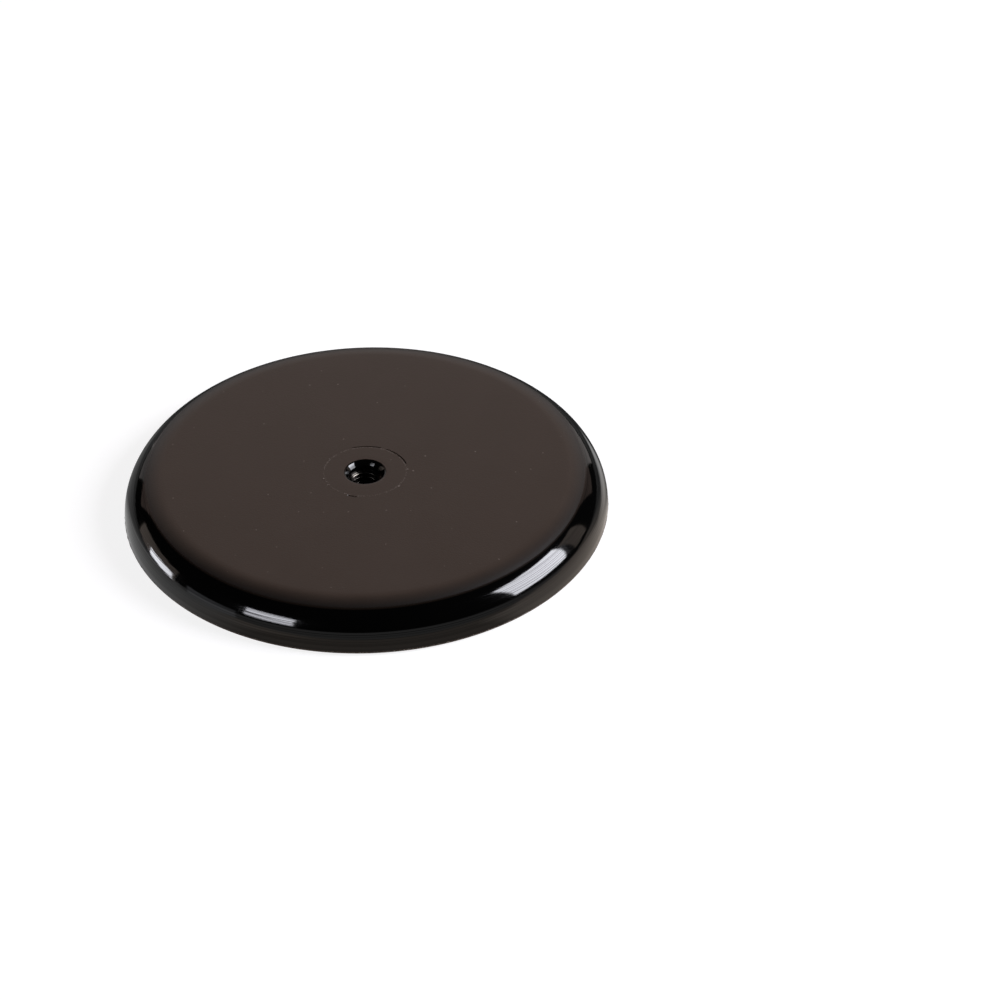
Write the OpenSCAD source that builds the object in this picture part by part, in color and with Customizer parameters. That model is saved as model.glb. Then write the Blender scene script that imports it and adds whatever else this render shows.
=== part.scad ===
// Round anti-slip pad with a threaded centre: a rubber shell moulded over a steel plate
// that carries a threaded bush and two rings of disc magnets, closed below by a grained face.
// Millimetres, +Z up. The origin is the middle of the face that the pad stands on.

/* [Shell] */
// Outside diameter of the pad
pad_d = 88; // [76:1:120]
// Height of the upright land below the rounded edge, which fills the height above it
land_h = 0.5; // [0.4:0.1:1.5]
// Rubber over the steel plate
skin_t = 2.1; // [1.6:0.1:4]
// Radius of the rim's outer corner on the underside
rim_round = 0.25; // [0.1:0.05:0.3]

/* [Underside] */
// Width of the smooth rim on the underside
rim_w = 3.2; // [2:0.1:5]
// Width of the ring groove between the rim and the grained face
groove_w = 2.6; // [1:0.1:4]
// Lean of the groove's outer wall, measured at its foot
groove_draft = 0.3; // [0.1:0.05:0.6]
// Depth of the groove's floor above the rim
recess_d = 1; // [0.6:0.1:2]
// How far the grained face stands below the rim
face_proud = 0.4; // [0.1:0.05:1]
// Radius of the grained face's lower edge
face_round = 0.4; // [0.1:0.05:0.6]
// Width of the ledge that the grained face is bonded to
seat_w = 1.6; // [1:0.1:4]
// Diameter of the moulding gate's dimple in the grained face
gate_d = 2.2; // [1:0.1:3]
// Depth of the gate's dimple
gate_h = 0.3; // [0.1:0.05:0.5]

/* [Hole] */
// Diameter of the hole through the rubber, which clears an M6 screw
hole_d = 6.1; // [6.1:0.1:8]
// Width of the hole's countersunk mouth on each side
mouth_w = 0.65; // [0.2:0.05:1]
// Depth of the mouth
mouth_h = 0.8; // [0.3:0.05:1]
// Rounding of the mouth's edge at the top
lip_r = 0.5; // [0.1:0.05:0.6]

/* [Bush] */
// Wall diameter of the thread, the tapping size of M6
thread_d = 5; // [4.9:0.05:5.2]
// Depth of the chamfer at both ends of the thread
thread_chamfer = 0.4; // [0.2:0.1:0.8]
// Diameter of the head under the plate
head_d = 14; // [13:0.5:18]
// Diameter of the shank in the plate
shank_d = 11; // [9:0.5:12]
// Width across the shank's two flats, which stop it turning
shank_flats = 9.4; // [8:0.1:10]
// How far the shank stands above the plate, into the rubber
stake_h = 0.3; // [0.1:0.1:1]

/* [Plate] */
// Thickness of the steel plate
plate_t = 2; // [1:0.1:4]
// Chamfer on the plate's edges
plate_chamfer = 0.3; // [0.1:0.1:0.5]

/* [Magnets] */
// Magnets in the inner ring; the outer ring has twice as many
inner_count = 6; // [4:1:8]
// Thickness of a magnet, and of the holder that spaces the magnets
magnet_t = 3; // [2:0.1:6]
// Chamfer on a magnet's edges
magnet_chamfer = 0.3; // [0.1:0.1:0.5]
// Least wall of the holder between two magnets of one ring
magnet_web = 2.2; // [1:0.1:4]
// Wall of the holder between the two rings
ring_web = 1.5; // [1:0.1:4]
// Wall of the holder outside the outer ring
holder_wall = 2; // [1:0.1:4]
// Wall of the holder round the bush
bush_wall = 2; // [1:0.1:4]

/* [Keys] */
// Diameter of the rubber keys that pass through the plate and the holder
key_d = 4; // [2:0.1:5]

/* [Clearances] */
// Gap all round the plate and the holder in the shell's pocket
pocket_gap = 0.1; // [0.05:0.05:0.3]
// Gap all round each magnet, key, head and shank in its opening
fit_gap = 0.05; // [0.02:0.01:0.15]

/* [Hidden] */
$fn = 96;
// Overlap of a cut past the face that it opens
cut = 1;

// Levels, upwards from the standing face
rim_z = face_proud;
land_z = rim_z + land_h;
seat_z = rim_z + recess_d;
plate_z = seat_z + magnet_t;
skin_z = plate_z + plate_t;
top_z = skin_z + skin_t;

// Radii, inwards from the outside
pad_r = pad_d / 2;
groove_r = pad_r - rim_w;
face_r = groove_r - groove_w;
pocket_r = face_r - seat_w;
core_r = pocket_r - pocket_gap;

// Radius of the rounded edge, from the land to the top
edge_r = top_z - land_z;

// The magnets fill the room between the bush and the holder's outer wall
hub_r = head_d / 2 + bush_wall;
ring_r = core_r - holder_wall;
inner_half = sin(180 / inner_count);
outer_half = sin(90 / inner_count);
radial_room = (ring_r - hub_r - ring_web) / 2;
inner_room = (2 * hub_r * inner_half - magnet_web) / (1 - inner_half);
outer_room = (2 * ring_r * outer_half - magnet_web) / (1 + outer_half);
magnet_d = min(radial_room, inner_room, outer_room);
inner_ring_r = hub_r + magnet_d / 2;
outer_ring_r = ring_r - magnet_d / 2;
key_ring_r = outer_ring_r - (magnet_d + ring_web) / 2;

outer_count = 2 * inner_count;
inner_step = 360 / inner_count;
outer_step = 360 / outer_count;

function two_digits(i) = str(i < 10 ? "0" : "", i);
function outer_name(i) = str("outer_magnet_", two_digits(i));
function inner_name(i) = str("inner_magnet_", two_digits(i));

// Moves a shape to its place in each ring
module at_inner(i) rotate([0, 0, i * inner_step]) translate([inner_ring_r, 0, 0]) children();
module at_outer(i) rotate([0, 0, (i - 0.5) * outer_step]) translate([outer_ring_r, 0, 0]) children();
module at_keys() {
    for (i = [1 : inner_count])
        rotate([0, 0, (i - 0.5) * inner_step]) translate([key_ring_r, 0, 0]) children();
}

// Half section of a disc whose upper and lower edges are chamfered
module chamfered_half(r, h, c) {
    polygon([[0, 0], [r - c, 0], [r, c], [r, h - c], [r - c, h], [0, h]]);
}

// Half section of a block whose lower outer corner is rounded
module round_foot_half(r, h, c) {
    square([r - c, h]);
    translate([0, c]) square([r, h - c]);
    translate([r - c, c]) circle(c);
}

// Outside of the shell: a land on the rim's rounded corner, then the quarter-round edge
module shell_outside() {
    translate([0, rim_z]) round_foot_half(pad_r, land_h, rim_round);
    translate([0, land_z]) square([pad_r - edge_r, edge_r]);
    translate([pad_r - edge_r, land_z]) intersection() {
        circle(edge_r);
        square(edge_r);
    }
}

// Recess of the grained face, with the groove's leaning outer wall
module recess_half() {
    polygon([
        [0, rim_z - cut],
        [groove_r, rim_z - cut],
        [groove_r, rim_z],
        [groove_r - groove_draft, seat_z],
        [0, seat_z]
    ]);
}

// Hole through the rubber: a clear bore and a countersunk mouth whose edge is rounded
module hole_half() {
    hole_r = hole_d / 2;
    mouth_r = hole_r + mouth_w;
    mouth_a = atan2(mouth_w, mouth_h);
    lip_l = lip_r * tan((90 - mouth_a) / 2);
    lip_x = mouth_r + lip_l;
    polygon([
        [0, skin_z],
        [hole_r, skin_z],
        [hole_r, top_z - mouth_h],
        [mouth_r, top_z],
        [mouth_r, top_z + cut],
        [0, top_z + cut]
    ]);
    difference() {
        polygon([
            [mouth_r, top_z],
            [mouth_r - lip_l * sin(mouth_a), top_z - lip_l * cos(mouth_a)],
            [lip_x, top_z - lip_r],
            [lip_x, top_z + cut],
            [mouth_r, top_z + cut]
        ]);
        translate([lip_x, top_z - lip_r]) circle(lip_r);
    }
}

// The rubber is moulded round the shank's flats, and its keys fill the holes of the core
module shell() {
    color("#2a2624") difference() {
        union() {
            rotate_extrude() difference() {
                shell_outside();
                recess_half();
                translate([0, seat_z - cut]) square([pocket_r, skin_z - seat_z + cut]);
                hole_half();
            }
            at_keys() translate([0, 0, seat_z]) cylinder(d = key_d, h = top_z - skin_t / 2 - seat_z);
        }
        translate([0, 0, skin_z - cut]) double_d(fit_gap, cut + stake_h);
    }
}

module friction_face() {
    color("#3d3633") difference() {
        rotate_extrude() round_foot_half(face_r, seat_z, face_round);
        translate([0, 0, -cut]) cylinder(d = gate_d, h = gate_h + cut);
    }
}

// Shank of the bush, or with a gap the opening for it
module double_d(gap, h) {
    intersection() {
        cylinder(d = shank_d + 2 * gap, h = h);
        translate([-shank_d, -shank_flats / 2 - gap, 0])
            cube([2 * shank_d, shank_flats + 2 * gap, h]);
    }
}

module yoke_plate() {
    color("#9aa0a4") difference() {
        translate([0, 0, plate_z]) rotate_extrude() chamfered_half(core_r, plate_t, plate_chamfer);
        translate([0, 0, plate_z - cut]) double_d(fit_gap, plate_t + 2 * cut);
        at_keys() translate([0, 0, plate_z - cut])
            cylinder(d = key_d + 2 * fit_gap, h = plate_t + 2 * cut);
    }
}

module thread_bush() {
    thread_r = thread_d / 2;
    end_z = skin_z + stake_h;
    color("#4a4744") difference() {
        union() {
            translate([0, 0, seat_z]) cylinder(d = head_d, h = magnet_t);
            translate([0, 0, plate_z]) double_d(0, plate_t + stake_h);
        }
        translate([0, 0, seat_z - cut]) cylinder(r = thread_r, h = end_z - seat_z + 2 * cut);
        translate([0, 0, seat_z])
            cylinder(r1 = thread_r + thread_chamfer, r2 = thread_r, h = thread_chamfer);
        translate([0, 0, end_z - thread_chamfer])
            cylinder(r1 = thread_r, r2 = thread_r + thread_chamfer, h = thread_chamfer);
    }
}

module magnet_holder() {
    magnet_hole_d = magnet_d + 2 * fit_gap;
    color("#dcd8cc") translate([0, 0, seat_z]) difference() {
        cylinder(r = core_r, h = magnet_t);
        translate([0, 0, -cut]) {
            cylinder(d = head_d + 2 * fit_gap, h = magnet_t + 2 * cut);
            for (i = [1 : outer_count])
                at_outer(i) cylinder(d = magnet_hole_d, h = magnet_t + 2 * cut);
            for (i = [1 : inner_count])
                at_inner(i) cylinder(d = magnet_hole_d, h = magnet_t + 2 * cut);
            at_keys() cylinder(d = key_d + 2 * fit_gap, h = magnet_t + 2 * cut);
        }
    }
}

module magnet() {
    color("#b9bcc0") translate([0, 0, seat_z])
        rotate_extrude() chamfered_half(magnet_d / 2, magnet_t, magnet_chamfer);
}

shell();
friction_face();
yoke_plate();
thread_bush();
magnet_holder();
for (i = [1 : outer_count]) at_outer(i) magnet();
for (i = [1 : inner_count]) at_inner(i) magnet();
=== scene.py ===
import math

import bpy
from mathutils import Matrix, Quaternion, Vector


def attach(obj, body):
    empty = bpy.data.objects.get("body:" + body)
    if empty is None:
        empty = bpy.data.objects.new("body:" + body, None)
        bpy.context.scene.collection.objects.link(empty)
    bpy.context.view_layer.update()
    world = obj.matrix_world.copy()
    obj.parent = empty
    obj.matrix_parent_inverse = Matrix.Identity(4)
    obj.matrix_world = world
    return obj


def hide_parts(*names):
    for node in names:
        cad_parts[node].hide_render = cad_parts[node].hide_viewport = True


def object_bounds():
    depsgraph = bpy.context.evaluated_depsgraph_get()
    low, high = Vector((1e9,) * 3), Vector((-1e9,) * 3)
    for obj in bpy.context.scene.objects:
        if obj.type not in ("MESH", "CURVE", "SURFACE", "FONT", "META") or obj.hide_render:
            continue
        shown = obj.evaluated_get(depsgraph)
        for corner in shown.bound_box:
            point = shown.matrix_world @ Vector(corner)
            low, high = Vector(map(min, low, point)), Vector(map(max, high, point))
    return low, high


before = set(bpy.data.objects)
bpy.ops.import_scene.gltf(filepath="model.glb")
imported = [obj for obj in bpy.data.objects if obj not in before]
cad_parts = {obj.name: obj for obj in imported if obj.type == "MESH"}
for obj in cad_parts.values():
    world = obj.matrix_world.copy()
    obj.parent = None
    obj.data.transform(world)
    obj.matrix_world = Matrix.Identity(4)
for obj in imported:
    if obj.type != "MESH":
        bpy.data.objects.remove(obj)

cadLow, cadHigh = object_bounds()
mm = 0.001
# points closer than this become one
mergeGap = 0.002 * mm
# how near a point counts as on a cutting plane
cutGap = 0.0001 * mm
# node settings that many materials share
smoothStep = {"interpolation_type": "SMOOTHSTEP"}
asColour = {"data_type": "RGBA"}
print("frame loaded,", len(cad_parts), "nodes")


# small helpers

def freshStart():
    # operators act on everything selected, and the frame comes in selected
    if bpy.context.object and bpy.context.object.mode != "OBJECT":
        bpy.ops.object.mode_set(mode="OBJECT")
    bpy.ops.object.select_all(action="DESELECT")
    bpy.context.view_layer.objects.active = None


def pick(piece):
    freshStart()
    piece.select_set(True)
    bpy.context.view_layer.objects.active = piece


def arcPoints(centre, radius, startAngle, endAngle, steps):
    # an arc of a turning section, both ends included, degrees
    points = []
    for i in range(steps + 1):
        angle = math.radians(startAngle + (endAngle - startAngle) * i / steps)
        points.append((centre[0] + radius * math.cos(angle), centre[1] + radius * math.sin(angle)))
    return points


def roundCorner(before, corner, after, radius, steps):
    # the arc that replaces a corner of a section, touching both of its sides
    corner = Vector(corner)
    back = (Vector(before) - corner).normalized()
    ahead = (Vector(after) - corner).normalized()
    half = back.angle(ahead) / 2
    centre = corner + (back + ahead).normalized() * radius / math.sin(half)
    start = corner + back * radius / math.tan(half) - centre
    end = corner + ahead * radius / math.tan(half) - centre
    points = []
    for i in range(steps + 1):
        spoke = start.slerp(end, i / steps).normalized() * radius
        points.append((centre.x + spoke.x, centre.y + spoke.y))
    return points


def spacedRadii(start, end, spacing):
    count = max(1, round(abs(end - start) / spacing))
    return [start + (end - start) * i / count for i in range(count + 1)]


def drawSection(name, section):
    # one vertex is drawn out along the section (radius, height in mm); stays in edit mode
    freshStart()
    bpy.ops.mesh.primitive_plane_add(size=mm)
    piece = bpy.context.object
    piece.name = name
    piece.data.name = name
    bpy.ops.object.mode_set(mode="EDIT")
    bpy.ops.mesh.select_all(action="SELECT")
    bpy.ops.mesh.merge(type="CENTER")
    bpy.ops.transform.translate(value=(section[0][0] * mm, 0, section[0][1] * mm))
    for before, after in zip(section, section[1:]):
        step = ((after[0] - before[0]) * mm, 0, (after[1] - before[1]) * mm)
        bpy.ops.mesh.extrude_region_move(TRANSFORM_OT_translate={"value": step})
    return piece


def turnSection(name, section, steps):
    # a section spun round the pad's axis
    piece = drawSection(name, section)
    bpy.ops.mesh.select_all(action="SELECT")
    bpy.ops.mesh.remove_doubles(threshold=mergeGap)
    bpy.ops.mesh.select_all(action="SELECT")
    bpy.ops.mesh.spin(steps=steps, angle=2 * math.pi, center=(0, 0, 0), axis=(0, 0, 1))
    closeMesh()
    return piece


def closeMesh():
    # merge what meets, then turn every face outwards; ends in object mode
    if bpy.context.object.mode != "EDIT":
        bpy.ops.object.mode_set(mode="EDIT")
    bpy.ops.mesh.select_all(action="SELECT")
    bpy.ops.mesh.remove_doubles(threshold=mergeGap)
    bpy.ops.mesh.normals_make_consistent(inside=False)
    bpy.ops.object.mode_set(mode="OBJECT")


def trim(piece, point, normal):
    # everything beyond a plane is cut off, and the cut is closed
    pick(piece)
    bpy.ops.object.mode_set(mode="EDIT")
    bpy.ops.mesh.select_all(action="SELECT")
    bpy.ops.mesh.bisect(
        plane_co=point, plane_no=normal, use_fill=True, clear_outer=True, threshold=cutGap,
    )
    bpy.ops.object.mode_set(mode="OBJECT")


def combine(piece, tool, operation):
    # a boolean that is applied at once, and its tool thrown away
    pick(piece)
    bpy.ops.object.modifier_add(type="BOOLEAN")
    cut = piece.modifiers[-1]
    cut.operation = operation
    cut.solver = "EXACT"
    cut.object = tool
    bpy.ops.object.modifier_apply(modifier=cut.name)
    bpy.data.objects.remove(tool, do_unlink=True)


def grainTexture(name, size):
    texture = bpy.data.textures.new(name, "CLOUDS")
    texture.noise_scale = size * mm
    texture.noise_depth = 2
    texture.noise_type = "HARD_NOISE"
    return texture


def roughen(piece, groupName, texture, depth):
    # pushed inwards only, so the highest grain stays on the standing plane
    pick(piece)
    bpy.ops.object.modifier_add(type="DISPLACE")
    grain = piece.modifiers[-1]
    grain.texture = texture
    grain.texture_coords = "LOCAL"
    grain.direction = "NORMAL"
    grain.mid_level = 1.0
    grain.strength = depth * mm
    grain.vertex_group = groupName
    bpy.ops.object.modifier_apply(modifier=grain.name)


def smoothFaces(piece, angle):
    pick(piece)
    bpy.ops.object.shade_smooth_by_angle(angle=math.radians(angle))


def linearColour(code):
    # "#rrggbb" as painted on a screen, to the linear values that shaders take
    channels = [int(code[i:i + 2], 16) / 255 for i in (1, 3, 5)]
    linear = [c / 12.92 if c <= 0.04045 else ((c + 0.055) / 1.055) ** 2.4 for c in channels]
    return (*linear, 1.0)


def addNode(tree, kind, settings=None, values=None, links=None):
    # settings are the node's own options, values fill sockets, links bring other nodes' outputs in
    node = tree.nodes.new("ShaderNode" + kind)
    for key, value in (settings or {}).items():
        setattr(node, key, value)
    for key, value in (values or {}).items():
        node.inputs[key].default_value = value
    for key, output in (links or {}).items():
        tree.links.new(output, node.inputs[key])
    return node


def axisDistance(tree, place):
    # how far a point is from the pad's upright axis
    flat = addNode(tree, "VectorMath", {"operation": "MULTIPLY"}, {1: (1, 1, 0)}, {0: place})
    away = addNode(tree, "VectorMath", {"operation": "LENGTH"}, links={0: flat.outputs[0]})
    return away.outputs["Value"]


def newMaterial(name):
    material = bpy.data.materials.new(name)
    material.use_nodes = True
    material.node_tree.nodes.clear()
    return material, material.node_tree


# camera first: a long lens from the front, rolled a little, with the pad left of the middle
cameraSetup = {
    "elevation": 36.4,
    "roll": 1.6,
    "distance": 1.76,
    "lens": 349,
    "sensorWidth": 36,
    "clipStart": 0.05,
    "clipEnd": 20,
    "aimRight": 24.49 * mm,
    "aimUp": -5.155 * mm,
}


def placeCamera():
    freshStart()
    bpy.ops.object.camera_add()
    camera = bpy.context.object
    camera.name = "photoCamera"
    tilt = math.radians(cameraSetup["elevation"])
    back = Vector((0, -math.cos(tilt), math.sin(tilt)))
    turn = (-back).to_track_quat("-Z", "Y") @ Quaternion((0, 0, 1), math.radians(-cameraSetup["roll"]))
    right = turn @ Vector((1, 0, 0))
    up = turn @ Vector((0, 1, 0))
    topCentre = Vector((0, 0, cadHigh.z))
    aim = topCentre + right * cameraSetup["aimRight"] + up * cameraSetup["aimUp"]
    camera.rotation_mode = "QUATERNION"
    camera.rotation_quaternion = turn
    camera.location = aim + back * cameraSetup["distance"]
    camera.data.sensor_width = cameraSetup["sensorWidth"]
    camera.data.lens = cameraSetup["lens"]
    camera.data.clip_start = cameraSetup["clipStart"]
    camera.data.clip_end = cameraSetup["clipEnd"]
    bpy.context.scene.camera = camera


placeCamera()
print("camera placed")


# thread bush: turned head, shank with two flats, a true M6 thread with rounded crests
bushSizes = {
    "headR": 7.0,
    "headZ": 1.4,
    "shoulderZ": 4.4,
    "shankSink": 0.5,
    "shankR": 5.5,
    "flatHalf": 4.7,
    "endZ": 6.7,
    "breakEdge": 0.15,
    "minorR": 2.5,
    "majorR": 3.02,
    "pitch": 1.0,
    "flankAngle": 30,
    "rootFlat": 0.125,
    "turns": 10,
    "overrun": 0.3,
    "crestR": 0.12,
    "crestSteps": 4,
    "chamfer": 0.4,
    "chamferPast": 0.2,
    "steps": 128,
    "smoothAngle": 32,
}


def makeDoubleD(name, gap, lowZ, highZ, breakEdge):
    # a round bar with two flats: the shank itself, or with a gap the room for it in the rubber
    s = bushSizes
    radius = s["shankR"] + gap
    section = [(0, lowZ)]
    section += [(radius, lowZ)]
    section += [(radius, highZ - breakEdge)]
    section += [(radius - breakEdge, highZ)]
    section += [(0, highZ)]
    bar = turnSection(name, section, s["steps"])
    for side in (1, -1):
        trim(bar, (0, side * (s["flatHalf"] + gap) * mm, 0), (0, side, 0))
    pick(bar)
    closeMesh()
    return bar


def makeThreadTool():
    # one pitch of the thread's outline, wound upwards by Screw, then cut flat at both ends
    s = bushSizes
    flank = (s["majorR"] - s["minorR"]) * math.tan(math.radians(s["flankAngle"]))
    rootHalf = s["pitch"] * s["rootFlat"] / 2
    middle = s["pitch"] / 2
    start = (s["minorR"], 0)
    lowCrest = (s["minorR"], middle - rootHalf - flank)
    lowRoot = (s["majorR"], middle - rootHalf)
    highRoot = (s["majorR"], middle + rootHalf)
    highCrest = (s["minorR"], middle + rootHalf + flank)
    end = (s["minorR"], s["pitch"])
    outline = [start]
    outline += roundCorner(start, lowCrest, lowRoot, s["crestR"], s["crestSteps"])
    outline += [lowRoot]
    outline += [highRoot]
    outline += roundCorner(highRoot, highCrest, end, s["crestR"], s["crestSteps"])
    outline += [end]
    tool = drawSection("threadTool", outline)
    bpy.ops.object.mode_set(mode="OBJECT")
    bpy.ops.object.modifier_add(type="SCREW")
    wind = tool.modifiers[-1]
    wind.axis = "Z"
    wind.angle = 2 * math.pi
    wind.screw_offset = s["pitch"] * mm
    wind.iterations = s["turns"]
    wind.steps = s["steps"]
    wind.render_steps = s["steps"]
    wind.use_merge_vertices = True
    wind.merge_threshold = mergeGap
    bpy.ops.object.modifier_apply(modifier=wind.name)
    for height, side in ((s["headZ"] - s["overrun"], -1), (s["endZ"] + s["overrun"], 1)):
        bpy.ops.object.mode_set(mode="EDIT")
        bpy.ops.mesh.select_all(action="SELECT")
        bpy.ops.mesh.remove_doubles(threshold=mergeGap)
        trim(tool, (0, 0, height * mm), (0, 0, side))
    closeMesh()
    return tool


def makeChamferTool(endZ, side):
    # a 45 degree cone at one end of the thread, and a little past both its ends
    s = bushSizes
    past = s["chamferPast"]
    tipZ = endZ - side * (s["chamfer"] + past)
    section = [(0, endZ + side * past)]
    section += [(s["minorR"] + s["chamfer"] + past, endZ + side * past)]
    section += [(s["minorR"] - past, tipZ)]
    section += [(0, tipZ)]
    return turnSection("chamferTool", section, s["steps"])


def makeBush():
    s = bushSizes
    section = [(0, s["headZ"])]
    section += [(s["headR"] - s["breakEdge"], s["headZ"])]
    section += [(s["headR"], s["headZ"] + s["breakEdge"])]
    section += [(s["headR"], s["shoulderZ"] - s["breakEdge"])]
    section += [(s["headR"] - s["breakEdge"], s["shoulderZ"])]
    section += [(0, s["shoulderZ"])]
    bush = turnSection("threadBush", section, s["steps"])
    shank = makeDoubleD("shank", 0, s["shoulderZ"] - s["shankSink"], s["endZ"], s["breakEdge"])
    combine(bush, shank, "UNION")
    combine(bush, makeThreadTool(), "DIFFERENCE")
    combine(bush, makeChamferTool(s["endZ"], 1), "DIFFERENCE")
    combine(bush, makeChamferTool(s["headZ"], -1), "DIFFERENCE")
    pick(bush)
    closeMesh()
    smoothFaces(bush, s["smoothAngle"])
    return bush


threadBush = makeBush()
print("bush threaded,", len(threadBush.data.polygons), "faces")


# shell: one rubber moulding, turned from its section, with the six keys that hold the core
shellSizes = {
    "holeR": 3.05,
    "mouthW": 0.65,
    "mouthH": 0.8,
    "mouthBow": 0.02,
    "lipR": 0.5,
    "lipSteps": 6,
    "seatGap": 0.05,
    "seatSink": 1,
    "seatBreak": 0.01,
    "ceilingZ": 6.4,
    "topSpacing": 4,
    "markR": 7.75,
    "markMargin": 2.5,
    "markHalf": 0.13,
    "markDepth": 0.4,
    "markLeft": 0.01,
    "markReach": 0.02,
    "markArcs": [(17, 60), (69, 108), (246, 258)],
    "markNibs": [2, 3, 147, 193, 194, 209, 321, 322, 323],
    "nibProud": 0.07,
    "nibHalfAngle": 0.6,
    "edgeR": 7.6,
    "edgeSteps": 40,
    "edgeMargin": 2,
    "landZ": 0.9,
    "flashZ": 0.7,
    "flashRoot": 0.05,
    "flashTip": 0.02,
    "flashProud": 0.12,
    "flashTear": 0.16,
    "flashTearSize": 0.8,
    "footR": 0.25,
    "footSteps": 6,
    "rimZ": 0.4,
    "rimInnerR": 40.8,
    "rimFootR": 40.5,
    "rimEdgeR": 0.12,
    "rimEdgeSteps": 4,
    "grooveZ": 1.4,
    "pocketR": 36.6,
    "keyR": 2.0,
    "keySides": 40,
    "keyRingR": 21.75,
    "keyCount": 6,
    "keyTopZ": 7.4,
    "steps": 360,
    "smoothAngle": 35,
}


def shellSection():
    s = shellSizes
    padR = cadHigh.x / mm
    topZ = cadHigh.z / mm
    bore = (s["holeR"], topZ - s["mouthH"])
    lip = (s["holeR"] + s["mouthW"], topZ)
    edgeCentre = (padR - s["edgeR"], s["landZ"])
    footCentre = (padR - s["footR"], s["rimZ"] + s["footR"])
    rimCentre = (s["rimInnerR"] + s["rimEdgeR"], s["rimZ"] + s["rimEdgeR"])
    bow = ((bore[0] + lip[0] - s["mouthBow"]) / 2, (bore[1] + lip[1] + s["mouthBow"]) / 2)
    inside = (s["markR"] - s["markMargin"], topZ)
    section = [(s["holeR"], s["ceilingZ"])]
    section += [bore]
    section += [bow]
    section += roundCorner(bow, lip, inside, s["lipR"], s["lipSteps"])
    section += [inside]
    section += [(s["markR"] - s["markHalf"], topZ)]
    section += [(s["markR"] - s["markHalf"], topZ - s["markDepth"])]
    section += [(s["markR"] + s["markHalf"], topZ - s["markDepth"])]
    section += [(s["markR"] + s["markHalf"], topZ)]
    flatFrom = s["markR"] + s["markMargin"]
    flatTo = edgeCentre[0] - s["edgeMargin"]
    section += [(r, topZ) for r in spacedRadii(flatFrom, flatTo, s["topSpacing"])]
    section += arcPoints(edgeCentre, s["edgeR"], 90, 0, s["edgeSteps"])
    section += [(padR, s["flashZ"] + s["flashRoot"])]
    section += [(padR + s["flashProud"], s["flashZ"] + s["flashTip"])]
    section += [(padR + s["flashProud"], s["flashZ"] - s["flashTip"])]
    section += arcPoints(footCentre, s["footR"], 0, -90, s["footSteps"])
    section += arcPoints(rimCentre, s["rimEdgeR"], -90, -180, s["rimEdgeSteps"])
    section += [(s["rimFootR"], s["grooveZ"])]
    section += [(s["pocketR"], s["grooveZ"])]
    section += [(s["pocketR"], s["ceilingZ"])]
    section += [(s["holeR"], s["ceilingZ"])]
    return section


def closeMark(piece):
    # the witness ring is open only in its arcs: elsewhere its floor is lifted, and the nibs stand up
    s = shellSizes
    markZ = cadHigh.z / mm - s["markDepth"]
    floor = []
    for vertex in piece.data.vertices:
        radius = math.hypot(vertex.co.x, vertex.co.y) / mm
        onFloor = abs(vertex.co.z / mm - markZ) < s["markReach"]
        if onFloor and abs(radius - s["markR"]) < s["markHalf"] + s["markReach"]:
            angle = math.degrees(math.atan2(vertex.co.y, vertex.co.x)) % 360
            floor.append((vertex.index, angle))
    inArc = [any(start < angle < end for start, end in s["markArcs"]) for index, angle in floor]
    onNib = [any(abs(angle - nib) < s["nibHalfAngle"] for nib in s["markNibs"]) for index, angle in floor]
    for chosen, rise in (
        ([not arc for arc in inArc], s["markDepth"] - s["markLeft"]),
        (onNib, s["nibProud"]),
    ):
        pick(piece)
        bpy.ops.object.mode_set(mode="EDIT")
        bpy.ops.mesh.select_mode(type="VERT")
        bpy.ops.mesh.select_all(action="DESELECT")
        bpy.ops.object.mode_set(mode="OBJECT")
        for (index, angle), wanted in zip(floor, chosen):
            piece.data.vertices[index].select = wanted
        bpy.ops.object.mode_set(mode="EDIT")
        bpy.ops.transform.translate(value=(0, 0, rise * mm))
        bpy.ops.object.mode_set(mode="OBJECT")


def tearFlash(piece):
    # the thin flash on the parting line is torn off unevenly
    s = shellSizes
    flash = piece.vertex_groups.new(name="flash")
    for vertex in piece.data.vertices:
        if math.hypot(vertex.co.x, vertex.co.y) > cadHigh.x + s["flashProud"] / 2 * mm:
            flash.add([vertex.index], 1.0, "REPLACE")
    roughen(piece, "flash", grainTexture("tornFlash", s["flashTearSize"]), s["flashTear"])


def makeKeys():
    # one key is modelled, then spun into its ring
    s = shellSizes
    height = s["keyTopZ"] - s["grooveZ"]
    angle = math.pi / s["keyCount"]
    freshStart()
    bpy.ops.mesh.primitive_cylinder_add(
        vertices=s["keySides"],
        radius=s["keyR"] * mm,
        depth=height * mm,
        location=(
            s["keyRingR"] * mm * math.cos(angle),
            s["keyRingR"] * mm * math.sin(angle),
            (s["grooveZ"] + height / 2) * mm,
        ),
    )
    keys = bpy.context.object
    bpy.ops.object.transform_apply(location=True, rotation=True, scale=True)
    turn = 2 * math.pi * (s["keyCount"] - 1) / s["keyCount"]
    bpy.ops.object.mode_set(mode="EDIT")
    bpy.ops.mesh.select_all(action="SELECT")
    bpy.ops.mesh.spin(steps=s["keyCount"] - 1, dupli=True, angle=turn, center=(0, 0, 0), axis=(0, 0, 1))
    closeMesh()
    return keys


def makeShell():
    s = shellSizes
    shell = turnSection("rubberShell", shellSection(), s["steps"])
    combine(shell, makeKeys(), "UNION")
    seatZ = s["ceilingZ"] - s["seatSink"]
    seat = makeDoubleD("stakeSeat", s["seatGap"], seatZ, bushSizes["endZ"], s["seatBreak"])
    combine(shell, seat, "DIFFERENCE")
    pick(shell)
    closeMesh()
    closeMark(shell)
    tearFlash(shell)
    smoothFaces(shell, s["smoothAngle"])
    return shell


rubberShell = makeShell()
print("shell turned,", len(rubberShell.data.polygons), "faces")


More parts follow.
